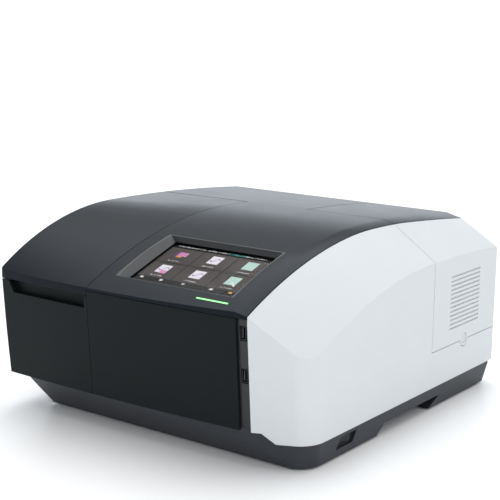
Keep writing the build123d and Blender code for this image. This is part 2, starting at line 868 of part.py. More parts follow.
def cover_screws():
    """Pan-head screws through the covers' lugs into the plate."""
    screws = []
    length = lug_height + plate_thickness - 1
    for x, y in all_lug_screws():
        top = deck_z + lug_height
        shank = rod("Z", (x, y, top - length / 2), screw_r, length)
        screws.append(shank + rod("Z", (x, y, top + 1.2), screw_head_r, 2.4))
    return group(screws)


def corner_plugs():
    """Two small dark plugs in the roof, at the corners of the lid and of the lamp cover."""
    plugs = []
    skin = outer - inner
    for x, y in plug_places:
        plugs.append(rod("Z", (x, y, body_height), plug_r, 4 * wall) & skin)
    return group(plugs)


plug_r = 1.6
plug_places = ((seam_x - 2.0, seam_y + 5.0), (lamp_roof_x - 5.0, seam_y + 5.0))


def main_board():
    """The processor board in the base, with its larger components."""
    x0, x1, y0, y1 = -60.0, 170.0, -150.0, 60.0
    low = arch_z + base_wall
    board = box(x0, x1, y0, y1, low + 5, low + 6.6)
    for x in (x0 + 6, x1 - 6):
        for y in (y0 + 6, y1 - 6):
            board += rod("Z", (x, y, low + 2.5), 3.0, 5.0)
    for x, y, w, d, h in ((0, -60, 34, 34, 3), (60, -60, 24, 24, 2), (100, 10, 30, 16, 10), (-30, 20, 20, 40, 8)):
        board += box(x, x + w, y, y + d, low + 6.6, low + 6.6 + h)
    return board


supply_length = 120.0
supply_rear_gap = 35.5     # behind the supply, to the rear of the body


def power_supply():
    """The boxed supply in the rear of the base."""
    low = arch_z + base_wall
    rear = hy - supply_rear_gap
    front = rear - supply_length
    case = box(-165, -75, front, rear, low, base_top_z - 2)
    for number in range(9):
        y = front + 10 + number * 12
        case -= box(-157, -83, y, y + 4, base_top_z - 4, base_top_z)
    return case


# ---- optics -------------------------------------------------------------------

def beam_windows():
    """Four quartz windows in the compartment's side walls."""
    half = tub_wall / 2
    places = [(x, y) for x in (tub_left - half, tub_right + half) for y in (sample_beam_y, sample_beam_y - beam_spacing)]
    return group([rod("X", (x, y, beam_z), window_r, tub_wall) for x, y in places])


cell_x = (tub_left + tub_right) / 2


def cell_holder():
    """The two-place block for sample and reference cells."""
    half = 14.0
    far_y = sample_beam_y - beam_spacing
    top = beam_z + 12
    floor = deck_z + tub_wall
    block = box(cell_x - half, cell_x + half, far_y - 18, sample_beam_y + 18, floor, top)
    for y in (sample_beam_y, far_y):
        reach = cell_size / 2
        block -= box(cell_x - reach, cell_x + reach, y - reach, y + reach, beam_z - cell_stop, top + 1)
        block -= rod("X", (cell_x, y, beam_z), 4.0, 4 * half)
    gap = beam_spacing - 2 * (cell_size / 2 + 6)
    middle = (sample_beam_y + far_y) / 2
    return block - box(cell_x - half - 1, cell_x + half + 1, middle - gap / 2, middle + gap / 2, floor + 8, top + 1)


def detector_housings():
    """Two small housings on the compartment's left wall, open towards their windows."""
    right = tub_left - tub_wall
    blocks = []
    for y in (sample_beam_y, sample_beam_y - beam_spacing):
        block = box(right - 18, right, y - 14, y + 14, beam_z - 14, beam_z + 14)
        block -= rod("X", (right, y, beam_z), 9.0, 24.0)
        block -= rod("X", (right - 15, y, beam_z), 5.0, 10.0)
        blocks.append(block)
    return group(blocks)


def photodiodes():
    """The two silicon detectors at the backs of their housings."""
    right = tub_left - tub_wall
    return group([
        rod("X", (right - 15, y, beam_z), 5.0, 6.0) for y in (sample_beam_y, sample_beam_y - beam_spacing)
    ])


def preamp_board():
    """The detectors' circuit board, upright beside their housings."""
    x1 = tub_left - tub_wall - 18
    y1 = sample_beam_y + 24
    return box(x1 - 1.6, x1, sample_beam_y - beam_spacing - 24, y1, beam_z - 30, beam_z + 30)


def upright(x, y, turn, width, height, thickness, foot=8.0):
    """An upright plate on a foot, turned about Z."""
    low = deck_z
    plate = Pos(0, 0, low + height / 2) * Box(width, thickness, height)
    plate += Pos(0, 0, low + 2) * Box(width, thickness + 2 * foot, 4)
    return Pos(x, y, 0) * (Rot(0, 0, turn) * plate)


def slit_plates():
    """The entrance slit behind the filter wheel, and the exit slit."""
    plates = []
    for x, y in ((slit_x, slit_y), (exit_x, exit_y)):
        plate = upright(x, y, 0, 26, beam_z - deck_z + 16, 3)
        plates.append(plate - box(x - 0.75, x + 0.75, y - 5, y + 5, beam_z - 6, beam_z + 6))
    return group(plates)


slit_y = 46.0
mirror_y = -hy + 60.0
exit_x = -18.0
exit_y = 20.0


mirror_places = ((slit_x - 16, 14.0), (exit_x + 12, -14.0))


def mirror_mounts():
    """Uprights behind the two concave mirrors."""
    return group([upright(x, mirror_y, turn, 42, beam_z - deck_z + 20, 5) for x, turn in mirror_places])


def collimating_mirrors():
    """The two concave mirrors of the monochromator."""
    mirrors = []
    for x, turn in mirror_places:
        disc = Cylinder(18, 8)
        bowl = Pos(0, 0, 150 + 2) * Sphere(150)
        disc -= bowl
        face = Rot(-90, 0, 0) * disc
        mirrors.append(Pos(x, mirror_y, beam_z) * (Rot(0, 0, turn) * (Pos(0, 2.5 + 4, 0) * face)))
    return group(mirrors)


def involute_gear(teeth, phase):
    """A spur gear's outline; phase turns it, in tooth pitches."""
    pitch_r = gear_module * teeth / 2
    base_r = pitch_r * math.cos(math.radians(pressure_angle))
    tip_r = pitch_r + 0.85 * gear_module
    root_r = pitch_r - 1.2 * gear_module

    def roll(radius):
        """Polar angle of the involute at a radius."""
        along = math.acos(min(1.0, base_r / radius))
        return math.tan(along) - along

    half_tooth = math.pi / (2 * teeth) - backlash / (2 * pitch_r)
    flank = [max(base_r, root_r) + (tip_r - max(base_r, root_r)) * step / 4 for step in range(5)]
    points = []
    for number in range(teeth):
        centre = 2 * math.pi * (number + phase) / teeth
        left = [(radius, centre - half_tooth - roll(pitch_r) + roll(radius)) for radius in flank]
        right = [(radius, centre + half_tooth + roll(pitch_r) - roll(radius)) for radius in reversed(flank)]
        foot = [(root_r, left[0][1])] if root_r < base_r else []
        heel = [(root_r, right[-1][1])] if root_r < base_r else []
        points += foot + left + right + heel
    places = [(radius * math.cos(angle), radius * math.sin(angle)) for radius, angle in points]
    return make_face(Polyline(places, close=True))


table_pitch_r = gear_module * table_teeth / 2
pinion_pitch_r = gear_module * pinion_teeth / 2
gear_spacing = table_pitch_r + pinion_pitch_r + 0.15
pinion_x = table_x + gear_spacing
spindle_r = 4.0
motor_shaft_r = 2.5


def grating_table():
    """The turntable: a gear on a spindle, with a shelf for the grating."""
    gear = Pos(table_x, table_y, gear_z) * extrude(involute_gear(table_teeth, 0), amount=gear_width)
    spindle = rod("Z", (table_x, table_y, (deck_z + 8 + gear_z) / 2), spindle_r, gear_z - deck_z - 8)
    rest = box(table_x - 15, table_x + 15, table_y + 3.2, table_y + 7, gear_z + gear_width, beam_z + 12)
    return gear + spindle + rest


def grating():
    """The holographic grating's glass block."""
    top = gear_z + gear_width
    return box(table_x - 14, table_x + 14, table_y - 3, table_y + 3.2, top, top + 28)


def grating_post():
    """The bearing post under the turntable."""
    height = gear_z - deck_z - 1
    post = rod("Z", (table_x, table_y, deck_z + height / 2), 10.0, height)
    post += rod("Z", (table_x, table_y, deck_z + 3), 18.0, 6.0)
    return post - rod("Z", (table_x, table_y, deck_z + 7 + height), spindle_r + running_fit, 2 * height)


def drive_pinion():
    """The pinion on its motor shaft, in mesh with the turntable."""
    gear = extrude(involute_gear(pinion_teeth, 0.5), amount=gear_width)
    pinion = Pos(pinion_x, table_y, gear_z) * gear
    shaft_low = deck_z + 14
    shaft_high = gear_z + gear_width + 2
    return pinion + rod("Z", (pinion_x, table_y, (shaft_low + shaft_high) / 2), motor_shaft_r, shaft_high - shaft_low)


def step_motor(x, y, top, size):
    """A square stepping motor on the plate, with a bore for its shaft."""
    half = size / 2
    body = box(x - half, x + half, y - half, y + half, deck_z, top)
    body = chamfer(body.edges().filter_by(Axis.Z), 2.5)
    return body - rod("Z", (x, y, top), motor_shaft_r + running_fit, 2 * (top - deck_z - 13))


def drive_motor():
    """The stepping motor that turns the grating."""
    return step_motor(pinion_x, table_y, gear_z - 2, 28)


wheel_x = slit_x + filter_orbit
wheel_thickness = 3.0
filter_motor_r = 11.0


def filter_places():
    """Centres of the filters round the wheel; the first is in the beam."""
    for number in range(filter_count):
        angle = math.pi + 2 * math.pi * number / filter_count
        yield wheel_x + filter_orbit * math.cos(angle), beam_z + filter_orbit * math.sin(angle)


def filter_wheel():
    """The wheel of order-sorting filters, on its shaft."""
    wheel = rod("Y", (wheel_x, wheel_y, beam_z), wheel_r, wheel_thickness)
    for x, z in filter_places():
        wheel -= rod("Y", (x, wheel_y, z), filter_r, 4 * wheel_thickness)
    shaft = rod("Y", (wheel_x, wheel_y - 6, beam_z), motor_shaft_r, 14.0)
    return wheel + shaft


def order_filters():
    """The glass discs in the wheel; one place is left open."""
    places = list(filter_places())[1:]
    return group([rod("Y", (x, wheel_y, z), filter_r, 2.0) for x, z in places])


def filter_motor():
    """The small motor behind the wheel, with its foot."""
    y1 = wheel_y - wheel_thickness / 2 - 2
    y0 = y1 - 18
    body = rod("Y", (wheel_x, (y0 + y1) / 2, beam_z), filter_motor_r, y1 - y0)
    body += box(wheel_x - 8, wheel_x + 8, y0 + 3, y1 - 3, deck_z, beam_z - 4)
    return body - rod("Y", (wheel_x, y1, beam_z), motor_shaft_r + running_fit, 30.0)


source_y = 150.0


def source_mirror():
    """The turning mirror that picks the lamp, on its spindle."""
    holder = box(slit_x - 9, slit_x + 9, source_y, source_y + 4, beam_z - 13, beam_z + 13)
    holder = Pos(slit_x, source_y, 0) * (Rot(0, 0, 45) * (Pos(-slit_x, -source_y, 0) * holder))
    low = deck_z + 14
    return holder + rod("Z", (slit_x, source_y, (low + beam_z) / 2), motor_shaft_r, beam_z - low)


def source_motor():
    """The motor that turns the source mirror."""
    return step_motor(slit_x, source_y, beam_z - 20, 24)


deuterium_x = slit_x + 56.0
halogen_x = slit_x - 42.0


def lamp_bases():
    """Sockets of the two lamps, on the plate."""
    first = rod("Z", (deuterium_x, source_y, deck_z + 9), 17.0, 18.0)
    second = rod("Z", (halogen_x, source_y, deck_z + 13), 10.0, 26.0)
    return group([first, second])


def deuterium_lamp():
    """The ultraviolet lamp: a glass bulb with a rounded top."""
    low = deck_z + 18
    return rod("Z", (deuterium_x, source_y, low + 26), 14.0, 52.0) + Pos(deuterium_x, source_y, low + 52) * Sphere(14.0)


def halogen_lamp():
    """The visible-light lamp: a small capsule."""
    low = deck_z + 26
    return rod("Z", (halogen_x, source_y, low + 12), 5.5, 24.0) + Pos(halogen_x, source_y, low + 24) * Sphere(5.5)


def lamp_shield():
    """The bent heat shield between the lamps and the optics."""
    top = beam_z + 50
    y = wheel_y + 22
    left = halogen_x - 20
    shield = box(left, hx - wall - 18, y - 1, y + 1, deck_z, top)
    shield += box(left, left + 2, y - 1, hy - 34, deck_z, top)
    return shield - rod("Y", (slit_x, y, beam_z), 9.0, 10.0)


splitter_x = -44.0
splitter_mirror_turn = 45.0


def beam_mirrors():
    """The half mirror of the sample beam and the full mirror of the reference beam."""
    places = (sample_beam_y, sample_beam_y - beam_spacing)
    height = beam_z - deck_z + 12
    return group([upright(splitter_x, y, splitter_mirror_turn, 20, height, 3, foot=5) for y in places])


# ---- rear ---------------------------------------------------------------------

rear_y0 = hy - rear_recess - rear_thickness
rear_y1 = hy - rear_recess
inlet_width = 28.0
inlet_height = 21.0


def rear_panel():
    """The metal panel that closes the rear, with the fan's and the inlets' openings."""
    inset = wall + 0.4
    panel = envelope(inset, rear=margin, foot_z=0) & box(-hx, hx, rear_y0, rear_y1, deck_z, body_height)
    panel -= rod("Y", (fan_x, hy, fan_z), fan_bore_r - 1, 4 * margin)
    half_x = inlet_width / 2
    half_z = inlet_height / 2
    panel -= box(inlet_x - half_x, inlet_x + half_x, rear_y0 - 1, hy, inlet_z - half_z, inlet_z + half_z)
    panel -= box(port_block_x - 18, port_block_x + 18, rear_y0 - 1, hy, inlet_z - 8, inlet_z + 8)
    for row in range(6):
        z = 150 + row * 7.0
        for x in (-160.0, -110.0, -60.0, -10.0):
            panel -= box(x, x + 36, rear_y0 - 1, hy, z, z + 3)
    return panel


port_block_x = -85.0


def power_inlet():
    """The three-pin mains inlet."""
    half_x = inlet_width / 2
    half_z = inlet_height / 2
    depth = 20.0
    body = box(inlet_x - half_x, inlet_x + half_x, rear_y1 - depth, rear_y1 + 2, inlet_z - half_z, inlet_z + half_z)
    body += box(inlet_x - half_x - 4, inlet_x + half_x + 4, rear_y1, rear_y1 + 2, inlet_z - half_z - 2, inlet_z + half_z + 2)
    body -= box(inlet_x - 12.2, inlet_x + 12.2, rear_y1 - 15, hy, inlet_z - 8.5, inlet_z + 8.5)
    for dx, dz in ((-7, -2), (0, -5), (7, -2)):
        x = inlet_x + dx
        body += box(x - 1, x + 1, rear_y1 - 15.5, rear_y1 - 1, inlet_z + dz - 2, inlet_z + dz + 2)
    return body


def rear_ports():
    """The block of data sockets."""
    block = box(port_block_x - 18, port_block_x + 18, rear_y1 - 16, rear_y1 + 1, inlet_z - 8, inlet_z + 8)
    block -= box(port_block_x - 15, port_block_x + 1, rear_y1 - 12, hy, inlet_z - 6, inlet_z + 6)
    return block - box(port_block_x + 5, port_block_x + 14, rear_y1 - 12, hy, inlet_z - 5, inlet_z + 5)


fan_y0 = rear_y0 - fan_depth
hub_r = 17.0
fan_pin_r = 2.5


def fan_frame():
    """The square fan frame with its spider and spindle."""
    half = fan_size / 2
    frame = box(fan_x - half, fan_x + half, fan_y0, rear_y0, fan_z - half, fan_z + half)
    frame = fillet(frame.edges().filter_by(Axis.Y), 5)
    frame -= rod("Y", (fan_x, fan_y0, fan_z), fan_bore_r, 4 * fan_depth)
    spider = rod("Y", (fan_x, fan_y0 + 2, fan_z), hub_r, 4)
    for turn in (0, 120, 240):
        arm = box(-2, 2, fan_y0, fan_y0 + 3, 0, fan_bore_r + 1)
        spider += Pos(fan_x, 0, fan_z) * (Rot(0, turn, 0) * arm)
    spindle = rod("Y", (fan_x, fan_y0 + 11, fan_z), fan_pin_r, 18)
    return frame + spider + spindle


def fan_rotor():
    """The hub with its pitched blades."""
    y0 = fan_y0 + 5
    y1 = rear_y0 - 2
    rotor = rod("Y", (fan_x, (y0 + y1) / 2, fan_z), hub_r, y1 - y0)
    blade = box(-1, 1, -(y1 - y0 - 4) / 2, (y1 - y0 - 4) / 2, hub_r - 2, fan_bore_r - 2.5)
    blade = Rot(0, 0, 35) * blade
    blade &= rod("Y", (0, 0, 0), fan_bore_r - 1.2, y1 - y0)
    for number in range(blade_count):
        turn = Rot(0, 360 * number / blade_count, 0)
        rotor += Pos(fan_x, (y0 + y1) / 2, fan_z) * (turn * blade)
    return rotor - rod("Y", (fan_x, y0, fan_z), fan_pin_r + running_fit, 2 * (fan_depth - 9))


def fan_guard():
    """The wire guard over the fan's outlet."""
    y = rear_y1 + 1.5
    wire = 1.2
    guard = None
    for radius in (10.0, 19.0, 28.0, fan_bore_r + 0.5):
        ring = rod("Y", (fan_x, y, fan_z), radius + wire, 2) - rod("Y", (fan_x, y, fan_z), radius - wire, 4)
        guard = ring if guard is None else guard + ring
    for turn in (45, 135):
        bar = Rot(0, turn, 0) * box(-wire, wire, -1, 1, -fan_bore_r - 1, fan_bore_r + 1)
        guard += Pos(fan_x, y, fan_z) * bar
    return guard


nodes = {
    "base_tray": base_tray,
    "rubber_feet": rubber_feet,
    "chassis_plate": chassis_plate,
    "left_cover": left_cover,
    "right_cover": right_cover,
    "roof_cover": roof_cover,
    "lamp_cover_side": lamp_cover_side,
    "lamp_cover_top": lamp_cover_top,
    "lamp_cover_knob": lamp_cover_knob,
    "latch_receiver": latch_receiver,
    "compartment_lid": make_lid,
    "lid_liner": make_liner,
    "lid_seal": make_lid_seal,
    "hinge_knuckles": hinge_knuckles,
    "hinge_brackets": hinge_brackets,
    "hinge_pins": hinge_pins,
    "sample_tub": make_tub,
    "compartment_front_panel": compartment_front_panel,
    "front_panel": make_front_panel,
    "port_strip": port_strip,
    "usb_sockets": usb_sockets,
    "display_bezel": display_bezel,
    "touch_glass": touch_glass,
    "lcd_module": lcd_module,
    "status_light": status_light,
    "corner_plugs": corner_plugs,
    "cover_screws": cover_screws,
    "switch_housing": switch_housing,
    "power_rocker": power_rocker,
    "main_board": main_board,
    "power_supply": power_supply,
    "cell_holder": cell_holder,
    "beam_windows": beam_windows,
    "detector_housings": detector_housings,
    "photodiodes": photodiodes,
    "preamp_board": preamp_board,
    "slit_plates": slit_plates,
    "mirror_mounts": mirror_mounts,
    "collimating_mirrors": collimating_mirrors,
    "grating_table": grating_table,
    "grating": grating,
    "grating_post": grating_post,
    "drive_pinion": drive_pinion,
    "drive_motor": drive_motor,
    "filter_wheel": filter_wheel,
    "order_filters": order_filters,
    "filter_motor": filter_motor,
    "source_mirror": source_mirror,
    "source_motor": source_motor,
    "lamp_bases": lamp_bases,
    "deuterium_lamp": deuterium_lamp,
    "halogen_lamp": halogen_lamp,
    "lamp_shield": lamp_shield,
    "beam_mirrors": beam_mirrors,
    "rear_panel": rear_panel,
    "power_inlet": power_inlet,
    "rear_ports": rear_ports,
    "fan_frame": fan_frame,
    "fan_rotor": fan_rotor,
    "fan_guard": fan_guard,
}

for node, make in nodes.items():
    save(node, make())
    print(node)
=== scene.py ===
import json
import math
import bmesh
import bpy
from mathutils import Matrix, Vector


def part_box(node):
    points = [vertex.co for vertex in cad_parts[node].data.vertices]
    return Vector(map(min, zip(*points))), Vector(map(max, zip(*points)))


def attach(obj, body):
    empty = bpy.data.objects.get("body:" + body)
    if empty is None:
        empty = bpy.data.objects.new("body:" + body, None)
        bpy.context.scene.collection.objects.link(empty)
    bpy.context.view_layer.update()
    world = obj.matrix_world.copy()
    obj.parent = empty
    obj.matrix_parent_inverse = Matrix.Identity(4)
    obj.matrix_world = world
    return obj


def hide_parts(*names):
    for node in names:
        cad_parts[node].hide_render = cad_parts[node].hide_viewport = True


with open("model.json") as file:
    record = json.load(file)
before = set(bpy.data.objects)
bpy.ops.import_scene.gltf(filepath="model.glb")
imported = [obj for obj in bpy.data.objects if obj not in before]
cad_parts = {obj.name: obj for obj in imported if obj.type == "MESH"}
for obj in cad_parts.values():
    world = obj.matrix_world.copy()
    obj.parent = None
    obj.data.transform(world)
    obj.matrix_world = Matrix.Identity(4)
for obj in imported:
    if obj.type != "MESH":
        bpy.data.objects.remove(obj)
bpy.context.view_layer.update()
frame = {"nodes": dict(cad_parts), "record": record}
nodes = frame["nodes"]
millimetre = 0.001
print("frame loaded", len(nodes), "nodes")


# a node socket that can stand in a sum
class Wire:
    def __init__(self, finish, socket):
        self.finish = finish
        self.socket = socket

    def calc(self, operation, first, second=0.0):
        return self.finish.node("ShaderNodeMath", {"operation": operation}, {0: first, 1: second})

    def __add__(self, other):
        return self.calc("ADD", self, other)

    __radd__ = __add__

    def __sub__(self, other):
        return self.calc("SUBTRACT", self, other)

    def __rsub__(self, other):
        return self.calc("SUBTRACT", other, self)

    def __mul__(self, other):
        return self.calc("MULTIPLY", self, other)

    __rmul__ = __mul__

    def __mod__(self, other):
        return self.calc("FLOORED_MODULO", self, other)

    def __gt__(self, other):
        return self.calc("GREATER_THAN", self, other)

    def __lt__(self, other):
        return self.calc("LESS_THAN", self, other)

    def __abs__(self):
        return self.calc("ABSOLUTE", self)

    def sine(self):
        return self.calc("SINE", self)

    def clamp(self):
        return self.calc("MINIMUM", self.calc("MAXIMUM", self, 0.0), 1.0)


# one material and its node tree
class Finish:
    def __init__(self, name):
        self.material = bpy.data.materials.new(name)
        self.material.use_nodes = True
        self.tree = self.material.node_tree
        self.shader = self.tree.nodes["Principled BSDF"]
        self.place = self.node("ShaderNodeTexCoord", out="Object")

    def node(self, kind, settings=None, sockets=None, out=0):
        made = self.tree.nodes.new(kind)
        for name, value in (settings or {}).items():
            setattr(made, name, value)
        for name, value in (sockets or {}).items():
            self.feed(made.inputs[name], value)
        return Wire(self, made.outputs[out])

    def feed(self, socket, value):
        if isinstance(value, Wire):
            self.tree.links.new(value.socket, socket)
        else:
            socket.default_value = value

    def fixed(self, **values):
        for name, value in values.items():
            self.shader.inputs[name.replace("_", " ")].default_value = value

    def vary(self, name, value):
        self.feed(self.shader.inputs[name], value)

    def part(self, vector, axis):
        return self.node("ShaderNodeSeparateXYZ", {}, {0: vector}, axis)

    def noise(self, size, detail=2.0, roughness=0.5, where=None):
        sockets = {"Vector": where or self.place, "Scale": 1 / (size * millimetre), "Detail": detail,
                   "Roughness": roughness}
        return self.node("ShaderNodeTexNoise", {}, sockets)

    def cells(self, size, feature="F1"):
        sockets = {"Vector": self.place, "Scale": 1 / (size * millimetre)}
        return self.node("ShaderNodeTexVoronoi", {"feature": feature}, sockets, "Distance")

    def mix(self, factor, first, second):
        return self.node("ShaderNodeMix", {"data_type": "RGBA"}, {0: factor, 6: first, 7: second}, 2)

    def softened(self, radius):
        return self.node("ShaderNodeBevel", {"samples": 4}, {"Radius": radius * millimetre})

    def edge(self, softened, gain):
        plain = self.node("ShaderNodeNewGeometry", out="Normal")
        sockets = {0: softened, 1: plain}
        dot = self.node("ShaderNodeVectorMath", {"operation": "DOT_PRODUCT"}, sockets, "Value")
        return ((1 - dot) * gain).clamp()

    def bump(self, height, depth, normal=None):
        sockets = {"Height": height, "Distance": depth * millimetre}
        if normal:
            sockets["Normal"] = normal
        self.vary("Normal", self.node("ShaderNodeBump", {}, sockets))


def tone(red, green, blue):
    # display values 0 to 255 as a linear colour
    def linear(value):
        value = value / 255
        return value / 12.92 if value <= 0.04045 else ((value + 0.055) / 1.055) ** 2.4
    return (linear(red), linear(green), linear(blue), 1.0)


# moulded plastics: two body tones, the lighter tone of the edges (edge wear with a painted highlight), and
# the texture's size and depth in millimetres
plasticLooks = {
    "darkPlastic": {"light": tone(17, 22, 26), "dark": tone(13, 18, 22), "edgeWearAndHighlightTone": tone(56, 60, 64),
                    "grain": 0.7, "depth": 0.018, "roughness": 0.36, "spread": 0.06, "edge": 0.8,
                    "shine": 0.15, "sheen": tone(214, 233, 255)},
    "panelPlastic": {"light": tone(21, 27, 29), "dark": tone(17, 23, 25), "edgeWearAndHighlightTone": tone(46, 51, 53),
                     "grain": 0.7, "depth": 0.018, "roughness": 0.42, "spread": 0.06, "edge": 0.8,
                     "shine": 0.12},
    "whitePlastic": {"light": tone(216, 220, 222), "dark": tone(210, 214, 217), "edgeWearAndHighlightTone": tone(238, 240, 241),
                     "grain": 0.8, "depth": 0.014, "roughness": 0.38, "spread": 0.06, "edge": 0.9},
    "portPlastic": {"light": tone(34, 37, 41), "dark": tone(28, 31, 35), "edgeWearAndHighlightTone": tone(84, 88, 94),
                    "grain": 0.5, "depth": 0.010, "roughness": 0.34, "spread": 0.06, "edge": 0.6},
    "knobPlastic": {"light": tone(216, 219, 222), "dark": tone(206, 210, 214), "edgeWearAndHighlightTone": tone(232, 234, 236),
                    "grain": 0.5, "depth": 0.012, "roughness": 0.36, "spread": 0.05, "edge": 0.5},
    "basePlastic": {"light": tone(46, 50, 57), "dark": tone(39, 43, 49), "edgeWearAndHighlightTone": tone(78, 80, 86),
                    "grain": 1.1, "depth": 0.035, "roughness": 0.40, "spread": 0.08, "edge": 1.0,
                    "shine": 0.35},
    "blackPlastic": {"light": tone(34, 35, 37), "dark": tone(24, 25, 27), "edgeWearAndHighlightTone": tone(58, 60, 63),
                     "grain": 0.9, "depth": 0.03, "roughness": 0.55, "spread": 0.08, "edge": 0.4},
    "rubber": {"light": tone(36, 36, 37), "dark": tone(26, 26, 27), "edgeWearAndHighlightTone": tone(60, 60, 60),
               "grain": 0.6, "depth": 0.03, "roughness": 0.78, "spread": 0.08, "edge": 0.4},
    "paintedMetal": {"light": tone(172, 176, 180), "dark": tone(160, 164, 168), "edgeWearAndHighlightTone": tone(200, 202, 204),
                     "grain": 1.4, "depth": 0.03, "roughness": 0.46, "spread": 0.08, "edge": 0.4},
    "ceramic": {"light": tone(232, 228, 218), "dark": tone(214, 208, 196), "edgeWearAndHighlightTone": tone(240, 238, 232),
                "grain": 0.9, "depth": 0.03, "roughness": 0.62, "spread": 0.08, "edge": 0.3},
}
# what they share: cloudy patches, flecks a few grains wide, and scuffs that break up the lighter edges and
# vary the roughness, in millimetres
mouldTexture = {"patch": 46, "patchDetail": 3.0, "patchRoughness": 0.55, "patchShare": 0.7,
                "fleckGrains": 2.4, "fleckShare": 0.5, "offset": 0.1, "fleckHeight": 0.6,
                "scuff": 9, "scuffDetail": 4.0, "scuffRoughness": 0.65, "scuffSpread": 0.05,
                "edgeWearAndHighlightShare": 0.75, "rimGain": 6}
fullShine = 0.5
clearSheen = tone(255, 255, 255)


def makePlastic(name, look, texture=mouldTexture):
    finish = Finish(name)
    softened = finish.softened(look["edge"])
    rim = finish.edge(softened, texture["rimGain"])
    patch = finish.noise(texture["patch"], texture["patchDetail"], texture["patchRoughness"])
    fleck = finish.noise(look["grain"] * texture["fleckGrains"], 1.0)
    blend = (patch * texture["patchShare"] + fleck * texture["fleckShare"] - texture["offset"]).clamp()
    body = finish.mix(blend, look["dark"], look["light"])
    scuff = finish.noise(texture["scuff"], texture["scuffDetail"], texture["scuffRoughness"])
    # the rims are lightened in the base colour: part edge wear, part painted highlight along the edges
    finish.vary("Base Color", finish.mix((rim * scuff * texture["edgeWearAndHighlightShare"]).clamp(), body, look["edgeWearAndHighlightTone"]))
    uneven = (patch - 0.5) * look["spread"] + (scuff - 0.5) * texture["scuffSpread"]
    finish.vary("Roughness", look["roughness"] + uneven)
    finish.fixed(Specular_IOR_Level=look.get("shine", fullShine), Specular_Tint=look.get("sheen", clearSheen))
    pebble = finish.cells(look["grain"], "SMOOTH_F1")
    finish.bump(pebble + fleck * texture["fleckHeight"], look["depth"], softened)
    return finish.material


plastics = {name: makePlastic(name, look) for name, look in plasticLooks.items()}
print("plastics made")

# bare metals, with brush marks this many millimetres apart
metalLooks = {
    "aluminium": {"light": tone(206, 208, 211), "dark": tone(184, 187, 191), "roughness": 0.34, "brush": 0.5},
    "steel": {"light": tone(190, 191, 194), "dark": tone(160, 162, 166), "roughness": 0.30, "brush": 0.35},
    "darkSteel": {"light": tone(92, 95, 98), "dark": tone(70, 73, 76), "roughness": 0.34, "brush": 0.3},
    "brass": {"light": tone(214, 186, 120), "dark": tone(188, 158, 92), "roughness": 0.32, "brush": 0.4},
    "mirror": {"light": tone(238, 239, 240), "dark": tone(228, 230, 232), "roughness": 0.06, "brush": 0.05},
}
brushTexture = {"stretch": (0.04, 1, 1), "cloud": 14, "brushShare": 0.6, "cloudShare": 0.4,
                "brushSpread": 0.16, "cloudSpread": 0.1, "depth": 0.008, "edge": 0.3}


def makeMetal(name, look, texture=brushTexture):
    finish = Finish(name)
    softened = finish.softened(texture["edge"])
    stretching = {"Vector": finish.place, "Scale": texture["stretch"]}
    stretched = finish.node("ShaderNodeMapping", {}, stretching)
    brushed = finish.noise(look["brush"], 3.0, 0.6, stretched)
    cloud = finish.noise(texture["cloud"], 3.0, 0.6)
    blend = (brushed * texture["brushShare"] + cloud * texture["cloudShare"]).clamp()
    finish.vary("Base Color", finish.mix(blend, look["dark"], look["light"]))
    uneven = (brushed - 0.5) * texture["brushSpread"] + (cloud - 0.5) * texture["cloudSpread"]
    finish.vary("Roughness", look["roughness"] + uneven)
    finish.fixed(Metallic=1.0)
    finish.bump(brushed, texture["depth"], softened)
    return finish.material


metals = {name: makeMetal(name, look) for name, look in metalLooks.items()}
print("metals made")

# clear panes and bulbs
quartzLook = {"tint": tone(232, 238, 242), "clear": tone(246, 248, 249), "roughness": 0.03,
              "smear": 24, "smearSpread": 0.04, "bending": 1.46}
screenGlassLook = {"dark": tone(10, 11, 12), "light": tone(20, 21, 23), "roughness": 0.05,
                   "smear": 30, "smearSpread": 0.06, "cover": 0.06, "shine": 0.2}


def makeQuartz(look):
    finish = Finish("quartz")
    smear = finish.noise(look["smear"], 4.0, 0.6)
    finish.vary("Base Color", finish.mix(smear, look["tint"], look["clear"]))
    finish.vary("Roughness", look["roughness"] + smear * look["smearSpread"])
    finish.fixed(Transmission_Weight=1.0, IOR=look["bending"])
    return finish.material


def makeScreenGlass(look):
    finish = Finish("screenGlass")
    smear = finish.noise(look["smear"], 4.0, 0.6)
    finish.vary("Base Color", finish.mix(smear, look["dark"], look["light"]))
    finish.vary("Roughness", look["roughness"] + smear * look["smearSpread"])
    finish.fixed(Alpha=look["cover"], Specular_IOR_Level=look["shine"])
    return finish.material


# the green status light, brightest along its middle
statusLow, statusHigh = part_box("status_light")
statusLook = {"middle": (statusLow[1] + statusHigh[1]) / 2, "falloff": 600.0, "strength": 1.0,
              "outer": tone(50, 180, 80), "inner": tone(150, 250, 150), "grain": 1.2,
              "coreShare": 0.9, "grainShare": 0.2, "roughness": 0.3, "spread": 0.1}


def makeLight(look):
    finish = Finish("lightPipe")
    north = finish.part(finish.place, "Y")
    grain = finish.noise(look["grain"], 2.0)
    core = 1 - (abs(north - look["middle"]) * look["falloff"]).clamp()
    blend = (core * look["coreShare"] + grain * look["grainShare"]).clamp()
    lit = finish.mix(blend, look["outer"], look["inner"])
    finish.vary("Base Color", lit)
    finish.vary("Emission Color", lit)
    finish.vary("Roughness", look["roughness"] + grain * look["spread"])
    finish.fixed(Emission_Strength=look["strength"])
    return finish.material


# circuit boards: a mesh of traces and tinned pads, in millimetres
boardLook = {"traces": 3.4, "traceWidth": 0.09, "pads": 2.6, "padWidth": 0.16, "mask": tone(22, 84, 48),
             "copper": tone(44, 116, 66), "tin": tone(196, 190, 168), "roughness": 0.36, "spread": 0.12,
             "cloud": 6, "shine": 0.7, "depth": 0.03, "edge": 0.2}


